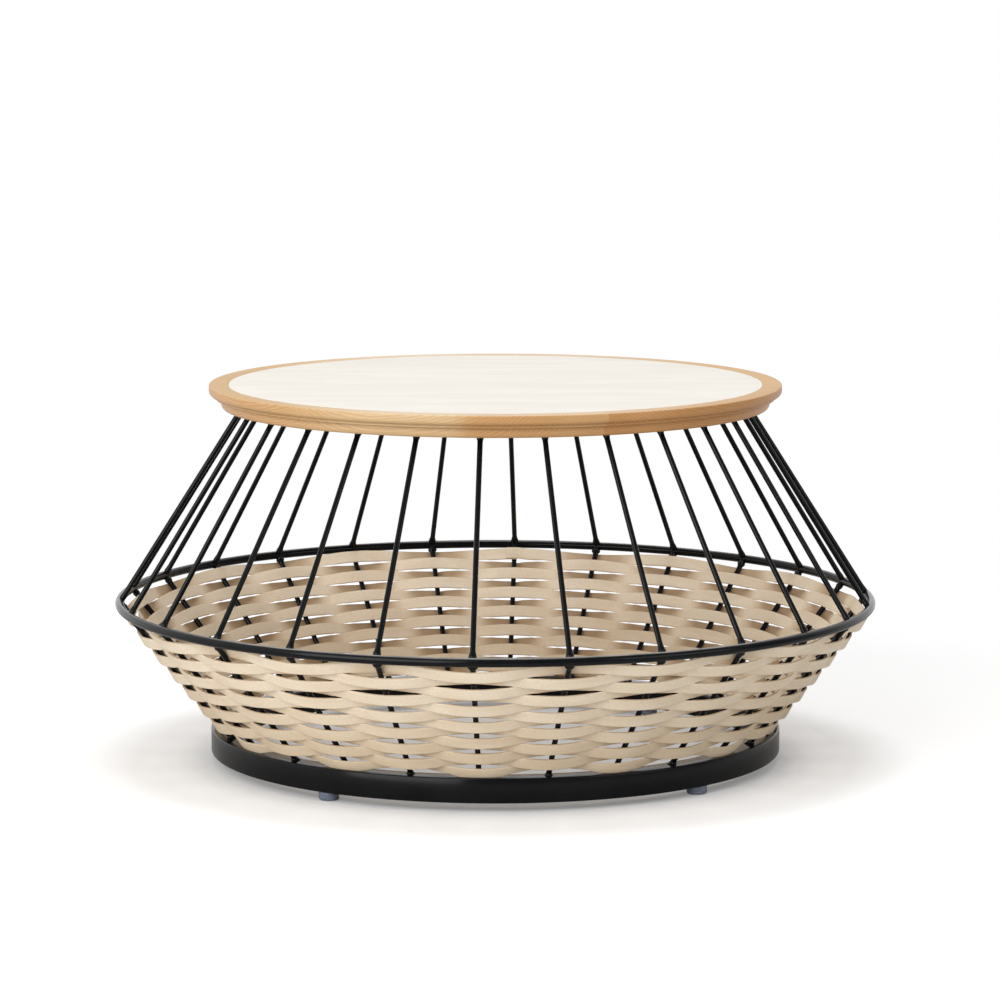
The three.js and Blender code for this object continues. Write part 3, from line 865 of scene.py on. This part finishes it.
def rim_section():
    """Outline (radius, z): underside, rounded toe, bead, small band, lip and straight fascia."""
    outer = rim_outer - RIM_INSET
    fascia = rim_top - RIM_FASCIA_DROP
    band = outer - RIM_BAND_IN
    band_top, band_bottom = (rim_top - drop for drop in RIM_BAND_DROPS)
    bead = outer - RIM_BEAD_IN
    bead_top, bead_bottom = (rim_top - drop for drop in RIM_BEAD_DROPS)
    toe = outer - RIM_TOE_IN
    points = [(rim_inner - RIM_INSET / 2, rim_bottom)]
    points += arc((toe, bead_bottom),
                  (bead - toe, bead_bottom - rim_bottom), -90, 0, RIM_TOE_STEPS)
    points += arc((bead, band_bottom),
                  (band - bead, band_bottom - bead_top), -90, 0, RIM_BEAD_STEPS)
    points += arc((band, fascia),
                  (outer - band, fascia - band_top), -90, 0, RIM_BAND_STEPS)
    points += arc((outer - RIM_EDGE, rim_top - RIM_EDGE),
                  (RIM_EDGE, RIM_EDGE), 0, 90, RIM_EDGE_STEPS)
    points += arc((rim_inner + RIM_INNER_EDGE, rim_top - RIM_INNER_EDGE),
                  (RIM_INNER_EDGE, RIM_INNER_EDGE), 90, 180, RIM_INNER_EDGE_STEPS)
    return np.array(points)


def make_rim(wood):
    section = rim_section()
    span = 360 / RIM_SEGMENTS
    joint = math.degrees(RIM_JOINT_GAP / 2 / rim_inner)
    for index, normal in enumerate(RIM_RING_NORMALS):
        start = RIM_JOINT_AZIMUTH + index * span
        azimuths = np.linspace(start + joint, start + span - joint, RIM_SEGMENT_STEPS + 1)
        rings = swept(section, azimuths, 0, 0)
        middle = np.array(start + span / 2)
        axes = np.stack([onward(middle), outward(middle), np.array([0, 0, 1.0])])
        ring = np.array(normal) / np.linalg.norm(normal)
        fibre = np.array([1.0, 0, 0]) - ring[0] * ring
        fibre /= np.linalg.norm(fibre)
        board = rings.reshape(-1, 3) @ axes.T
        flow = board @ np.stack([fibre, np.cross(ring, fibre), ring]).T + FLOW_SHIFT * (index + 1)
        node = f"rim_segment_{index + 1}"
        piece(f"{node}_board", *skin(rings, False), wood, "wood", [node],
              flow=flow, sharp=WOOD_SHARP_ANGLE)


def make_top(stone):
    radius = rim_inner - INLAY_GAP
    corner = (radius - INLAY_EDGE, inlay_top - INLAY_EDGE)
    edge = arc(corner, (INLAY_EDGE, INLAY_EDGE), 0, 90, INLAY_EDGE_STEPS)
    across = np.linspace(radius - INLAY_EDGE, 0, INLAY_RINGS + 1)[1:]
    profile = [(0, inlay_bottom), (radius, inlay_bottom), *edge, *[(r, inlay_top) for r in across]]
    piece("top_inlay_slab", *turned(profile, INLAY_STEPS), stone, "stone", ["top_inlay"])


def dress_board(plywood):
    """The board's solid stays, and gets a better material."""
    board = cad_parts["top_board"]
    board.data.materials.clear()
    board.data.materials.append(plywood)


def strap_outline():
    """Points of a strap's section, as the corner that each follows and its offset from it."""
    corners, offsets = [], []
    for index, (sx, sy) in enumerate(((1, 1), (-1, 1), (-1, -1), (1, -1))):
        turn = 90 * index
        for x, y in arc((0, 0), (STRAP_EDGE, STRAP_EDGE), turn, turn + 90, STRAP_EDGE_STEPS):
            corners.append((sx, sy))
            offsets.append((x, y))
        for share in STRAP_FACE_SHARES if index % 2 else ():
            corners.append((sx, sy * share))
            offsets.append((sx * STRAP_EDGE, 0))
    return np.array(corners), np.array(offsets)


def wobble(azimuth, size):
    """A small unevenness that repeats every turn."""
    total = np.zeros_like(azimuth)
    for waves in WOBBLE_WAVES:
        total += np.sin(np.radians(azimuth) * waves + rng.uniform(0, 2 * math.pi))
    return size * total / len(WOBBLE_WAVES)


def pinch(offset):
    """How far an edge draws in as its row crosses the next, from the row's offset off the wall."""
    opens = smoothstep((offset - PINCH_FROM + PINCH_SOFT) / PINCH_SOFT)
    closes = smoothstep((PINCH_TO + PINCH_SOFT - offset) / PINCH_SOFT)
    return PINCH_DEPTH * opens * closes


def woven_lift(azimuth, table):
    """How much higher than level the rows were woven, from pairs of azimuth and lift."""
    at, lift = np.array(table).T
    return np.interp(np.mod(azimuth, 360), at, lift, period=360)


def strap_line(row):
    """Bays along a row from end to end of its strap, and how far the lapped end stands off."""
    if row == TAB_ROW:
        start, end = TAB_BAYS
        lap = -LAP_STEP
    else:
        seam = RIB_COUNT / 2 + (row + 1) % 2
        start, end = seam + LAP_BAYS[0], seam + LAP_BAYS[1]
        lap = LAP_STEP
    bays = np.linspace(start, end + RIB_COUNT, RIB_COUNT * STRAP_STEPS + 1)
    rise = smoothstep((bays - start - RIB_COUNT + LAP_RISE_BAYS) / LAP_RISE_BAYS)
    return bays, lap * rise


def row_share(row):
    """How far down the basket a row lies, from 0 at the first to 1 at the last."""
    return 1 - (1 - row / (STRAP_ROWS - 1)) ** ROW_SPREAD


def strap_limits(row, offset, swing, back):
    """Half widths of a row above and below its middle line, less the rounding of the edges."""
    if row < STRAP_ROWS - 1:
        half = np.full_like(offset, STRAP_WIDTH / 2 - STRAP_EDGE)
        return half - (0 if row == 0 else pinch(-offset)), half - pinch(offset)
    half = np.full_like(offset, FOOT_STRAP_WIDTH / 2 - STRAP_EDGE)
    hang = FOOT_STRAP_HANG * smoothstep(offset / swing)
    hang += FOOT_STRAP_BACK_HANG * back * smoothstep(-offset / swing)
    return half + FOOT_STRAP_RISE - pinch(-offset), half + hang


def row_drops(row, azimuth, back):
    """How far down the ribs a row's middle line lies, before the shared unevenness."""
    share = row_share(row)
    sag = 0
    if row < STRAP_ROWS - 1:
        sag = BACK_SAG * max(row - BACK_SAG_FROM_ROW, 0) / (STRAP_ROWS - 2 - BACK_SAG_FROM_ROW)
    lift = woven_lift(azimuth, FRONT_LIFT) + (1 - share) * woven_lift(azimuth, UPPER_LIFT)
    drop = FIRST_ROW_DROP + share * (LAST_ROW_DROP - FIRST_ROW_DROP)
    return drop + sag * back - lift - wobble(azimuth, OWN_WOBBLE)


def strap_rings(azimuth, drop, off, limits):
    """Sections along a row, and the height of their points across the strap."""
    corners, rounding = strap_outline()
    radius = KNEE_RADIUS - drop * math.sin(lower_lean) + off * math.cos(lower_lean)
    z = knee_z - drop * math.cos(lower_lean) - off * math.sin(lower_lean)
    face = lower_lean - math.radians(STRAP_TILT)
    thick = corners[None, :, 0] * (STRAP_THICKNESS / 2 - STRAP_EDGE) + rounding[None, :, 0]
    upper, lower = limits
    limit = np.where(corners[None, :, 1] > 0, upper[:, None], lower[:, None])
    wide = corners[None, :, 1] * limit + rounding[None, :, 1]
    ring_r = radius[:, None] + thick * math.cos(face) + wide * math.sin(face)
    rings = outward(azimuth)[:, None, :] * ring_r[..., None]
    rings[:, :, 2] = z[:, None] - thick * math.sin(face) + wide * math.cos(face)
    return rings, wide


def strap_flow(row, rings, wide, weave):
    """Material coordinates of a row: metres along, metres across, and its row and swing."""
    steps = np.linalg.norm(np.diff(rings.mean(1), axis=0), axis=1)
    along = np.concatenate([[0], np.cumsum(steps)]) + FLOW_SHIFT * row
    flow = np.zeros_like(rings)
    flow[:, :, 0] = along[:, None]
    flow[:, :, 1] = wide
    flow[:, :, 2] = (row + FLOW_MIDDLE + FLOW_SWING * weave)[:, None]
    return flow.reshape(-1, 3)


def make_straps(fabric):
    """Each row passes outside one rib and inside the next, and the next row does the opposite."""
    shared = full_turn(RIB_COUNT * STRAP_STEPS)
    shared_out = wobble(shared, SHARED_WOBBLE)
    shared_up = wobble(shared, SHARED_WOBBLE)
    for row in range(STRAP_ROWS):
        bays, lap = strap_line(row)
        azimuth = FIRST_RIB_AZIMUTH + bays * bay
        turn = np.mod(azimuth - shared[0], 360)
        out, up = (np.interp(turn, shared - shared[0], uneven, period=360)
                   for uneven in (shared_out, shared_up))
        back = smoothstep(-BACK_SLOPE * np.cos(np.radians(azimuth)))
        swing = STRAP_SWING if row < STRAP_ROWS - 1 else FOOT_STRAP_SWING
        weave = (1 if row % 2 == 0 else -1) * np.cos(math.pi * bays)
        offset = swing * weave
        drop = row_drops(row, azimuth, back) - up
        limits = strap_limits(row, offset, swing, back)
        rings, wide = strap_rings(azimuth, drop, offset + lap + out, limits)
        node = f"strap_row_{row + 1:02d}"
        piece(f"{node}_weave", *skin(rings, False), fabric, "strap", [node],
              flow=strap_flow(row, rings, wide, weave), sharp=ROUND_SHARP_ANGLE)


# ---------------------------------------------------------------- stage

def make_camera():
    data = bpy.data.cameras.new("camera")
    data.lens = CAMERA_LENS
    data.sensor_width = CAMERA_SENSOR
    data.shift_x = CAMERA_SHIFT
    data.clip_end = CAMERA_FAR
    camera = bpy.data.objects.new("camera", data)
    camera.location = (0, -CAMERA_DISTANCE, CAMERA_HEIGHT)
    camera.rotation_euler = (math.radians(90 - CAMERA_PITCH), 0, 0)
    bpy.context.scene.collection.objects.link(camera)
    bpy.context.scene.camera = camera


def make_lamps():
    for name, azimuth, elevation, distance, size, share in LAMPS:
        data = bpy.data.lights.new(name, "AREA")
        data.shape = "SQUARE"
        data.size = size
        data.energy = share * PLAIN_LIGHT * distance ** 2
        lamp = bpy.data.objects.new(name, data)
        rise = math.radians(elevation)
        out = outward(np.array(float(azimuth))) * math.cos(rise) + np.array([0, 0, math.sin(rise)])
        lamp.location = out * distance + np.array([0, 0, rim_top / 2])
        lamp.rotation_euler = (math.radians(90 - elevation), 0, math.radians(azimuth))
        lamp.visible_camera = False
        bpy.context.scene.collection.objects.link(lamp)


def make_world():
    """White to the camera, even light on the pieces, and a half-dark room in reflections."""
    world = bpy.data.worlds.new("studio")
    bpy.context.scene.world = world
    tree = Tree(world)
    path = tree.add("ShaderNodeLightPath").outputs
    way = tree.parts(tree.add("ShaderNodeTexCoord").outputs["Generated"])
    side = tree.math("MULTIPLY_ADD", way[0], ROOM_SLANT, way[1])
    room = tree.step(side, -ROOM_EDGE, ROOM_EDGE, DARK_SIDE, 1.0)
    white = tree.math("MAXIMUM", path["Is Camera Ray"], path["Is Transmission Ray"])
    shiny = path["Is Glossy Ray"]
    plain = tree.rest(tree.math("MAXIMUM", white, shiny))
    level = tree.math("ADD", white, tree.times(shiny, room))
    level = tree.math("MULTIPLY_ADD", plain, AMBIENT, level)
    sky = tree.add("ShaderNodeBackground", {"Color": WHITE, "Strength": level})
    tree.add("ShaderNodeOutputWorld", {"Surface": sky.outputs[0]})


def make_floor():
    azimuths = np.arange(FLOOR_SIDES) * 360 / FLOOR_SIDES
    points = outward(azimuths) * FLOOR_RADIUS - np.array([0, 0, FLOOR_DROP])
    mesh = bpy.data.meshes.new("floor")
    mesh.from_pydata([tuple(p) for p in points], [], [tuple(range(FLOOR_SIDES))])
    mesh.materials.append(floor_material())
    floor = bpy.data.objects.new("floor", mesh)
    bpy.context.scene.collection.objects.link(floor)


bpy.context.scene.view_settings.view_transform = "Standard"
make_camera()
make_lamps()
make_world()
make_floor()

paint_finish = paint_material()
make_ribs(paint_finish)
make_rings(paint_finish)
make_glides(glide_material())
make_screws(steel_material())
make_rim(wood_material())
make_top(stone_material())
make_straps(strap_material())
dress_board(board_material())
